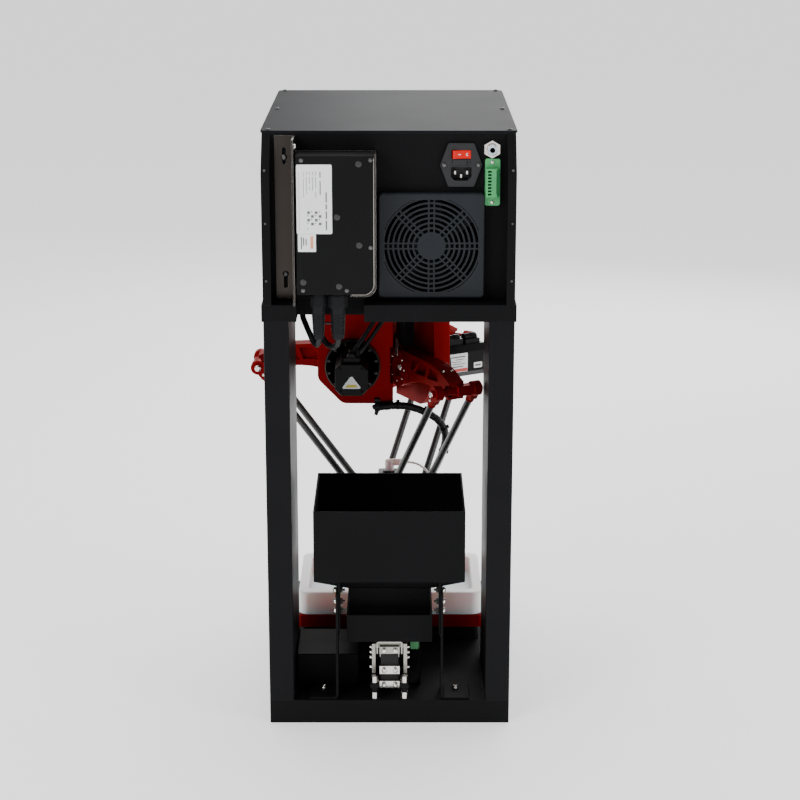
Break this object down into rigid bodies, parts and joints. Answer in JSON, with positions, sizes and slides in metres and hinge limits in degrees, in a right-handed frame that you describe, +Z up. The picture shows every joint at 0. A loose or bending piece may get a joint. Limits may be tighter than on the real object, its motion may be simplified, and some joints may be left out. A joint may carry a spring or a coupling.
{
  "type": "desktop delta pick and place cell",
  "caption": "Black desktop cabinet with rear columns and a red three-arm delta robot over a white vibrating tray, a rear hopper with trough, and a top box with fan and mains inlet.",
  "frame": {"origin": "centre of the rectangle of bench bolt holes in the underside of the base", "axes": "+Z up, -Y towards the rear service panel, +Y towards the open working side, +X to the right seen from the rear"},
  "size_m": [0.3314, 0.4549, 0.7338],
  "materials": {
    "powder_black": "fine powder coat",
    "gloss_black": "glossy enamel",
    "satin_black": "satin",
    "dark_aluminium": "black anodised",
    "black_screws": "black oxide",
    "black_plastic": "moulded",
    "inlet_plastic": "moulded",
    "red_plastic": "translucent red",
    "bright_metal": "nickel plated",
    "green_plastic": "moulded",
    "cast_black": "painted casting",
    "board_green": "solder mask",
    "stainless": "brushed",
    "connector_black": "moulded",
    "cable_black": "soft jacket",
    "zinc_steel": "zinc plated",
    "red_anodised": "red anodised",
    "servo_black": "black painted",
    "carbon_tube": "carbon fibre tube",
    "nozzle_metal": "machined",
    "white_plastic": "moulded",
    "clear_tube": "polyurethane tube",
    "spring_black": "glass fibre laminate"
  },
  "bodies": {
    "root": {"base_pan": "powder_black", "column_left": "gloss_black", "column_right": "gloss_black", "deck": "powder_black", "robot_mount_plate": "dark_aluminium", "housing": "powder_black", "rear_panel": "powder_black", "lid": "satin_black", "machine_screws": "black_screws", "fan_guard": "black_plastic", "fan_frame": "black_plastic", "inlet_body": "inlet_plastic", "inlet_pins": "bright_metal", "air_fitting": "bright_metal", "terminal_block": "green_plastic", "controller_case": "cast_black", "controller_cover": "cast_black", "circuit_boards": "board_green", "carrier_bracket": "stainless", "cable_connectors": "connector_black", "controller_cables": "cable_black", "power_supply": "zinc_steel", "motor_plates": "red_anodised", "reducers": "dark_aluminium", "servo_a": "servo_black", "servo_b": "servo_black", "servo_c": "servo_black", "homing_sensors": "connector_black", "motor_cables": "cable_black", "cable_clips": "black_plastic", "hopper": "powder_black", "hopper_legs": "powder_black", "vibrator_base": "cast_black", "leaf_springs": "spring_black", "spring_clamps": "bright_metal", "drive_coils": "spring_black", "feeder_body": "powder_black", "feeder_frame": "red_anodised", "feeder_driver": "powder_black"},
    "fan": {"fan_rotor": "black_plastic"},
    "rocker": {"rocker": "red_plastic"},
    "fuse_drawer": {"fuse_drawer": "inlet_plastic"},
    "platform": {"platform": "red_anodised", "wrist_motor": "servo_black", "air_elbow": "white_plastic", "air_tube": "clear_tube", "hose_bundle": "cable_black"},
    "nozzle": {"nozzle": "nozzle_metal"},
    "trough": {"trough": "powder_black", "vibrator_head": "zinc_steel"},
    "tray": {"feeder_tray": "white_plastic"},
    "arm_a": {"arm_a": "red_anodised"},
    "forearm_a": {"rod_ends_a": "red_anodised", "rods_a": "carbon_tube"},
    "arm_b": {"arm_b": "red_anodised"},
    "forearm_b": {"rod_ends_b": "red_anodised", "rods_b": "carbon_tube"},
    "arm_c": {"arm_c": "red_anodised"},
    "forearm_c": {"rod_ends_c": "red_anodised", "rods_c": "carbon_tube"}
  },
  "joints": [
    {"name": "fan_spin", "type": "hinge", "parent": "root", "child": "fan", "pos_m": [0.0498, -0.159, 0.598], "axis": [0, 1, 0], "continuous": true},
    {"name": "rocker_tilt", "type": "hinge", "parent": "root", "child": "rocker", "pos_m": [0.0843, -0.1815, 0.7048], "axis": [0, 0, 1], "range_deg": [-18, 0]},
    {"name": "fuse_drawer_slide", "type": "slide", "parent": "root", "child": "fuse_drawer", "axis": [0, -1, 0], "range_m": [0, 0.02]},
    {"name": "platform_lift", "type": "slide", "parent": "root", "child": "platform", "axis": [0, 0, 1], "range_m": [-0.03, 0.01], "deforming": ["hose_bundle"]},
    {"name": "nozzle_turn", "type": "hinge", "parent": "platform", "child": "nozzle", "pos_m": [-0.002, 0.06, 0.2], "axis": [0, 0, 1], "continuous": true},
    {"name": "trough_shake", "type": "slide", "parent": "root", "child": "trough", "axis": [0, 1, 0], "range_m": [-0.0006, 0.0006], "stiffness_N_per_m": 4000, "deforming": ["leaf_springs"]},
    {"name": "tray_bounce", "type": "slide", "parent": "root", "child": "tray", "axis": [0, 0, 1], "range_m": [-0.0008, 0.001], "stiffness_N_per_m": 9000, "springref_m": 0.0006},
    {"name": "arm_a_swing", "type": "hinge", "parent": "root", "child": "arm_a", "pos_m": [-0.0485, 0.06, 0.398], "axis": [0, -1, 0], "range_deg": [-4.57, 13.12]},
    {"name": "forearm_a_swing", "type": "hinge", "parent": "arm_a", "child": "forearm_a", "pos_m": [-0.17192, 0.06, 0.39369], "axis": [0, -1, 0], "range_deg": [-14.09, 4.9]},
    {"name": "arm_b_swing", "type": "hinge", "parent": "root", "child": "arm_b", "pos_m": [0.02125, 0.01973, 0.398], "axis": [0.866, 0.5, 0], "range_deg": [-4.57, 13.12]},
    {"name": "forearm_b_swing", "type": "hinge", "parent": "arm_b", "child": "forearm_b", "pos_m": [0.08296, -0.08716, 0.39369], "axis": [0.866, 0.5, 0], "range_deg": [-14.09, 4.9]},
    {"name": "arm_c_swing", "type": "hinge", "parent": "root", "child": "arm_c", "pos_m": [0.02125, 0.10027, 0.398], "axis": [-0.866, 0.5, 0], "range_deg": [-4.57, 13.12]},
    {"name": "forearm_c_swing", "type": "hinge", "parent": "arm_c", "child": "forearm_c", "pos_m": [0.08296, 0.20716, 0.39369], "axis": [-0.866, 0.5, 0], "range_deg": [-14.09, 4.9]}
  ],
  "couplings": [
    {"joint": "arm_a_swing", "follows": "platform_lift", "rad_per_m": -7.46},
    {"joint": "forearm_a_swing", "follows": "platform_lift", "rad_per_m": 8.02},
    {"joint": "arm_b_swing", "follows": "platform_lift", "rad_per_m": -7.46},
    {"joint": "forearm_b_swing", "follows": "platform_lift", "rad_per_m": 8.02},
    {"joint": "arm_c_swing", "follows": "platform_lift", "rad_per_m": -7.46},
    {"joint": "forearm_c_swing", "follows": "platform_lift", "rad_per_m": 8.02}
  ]
}
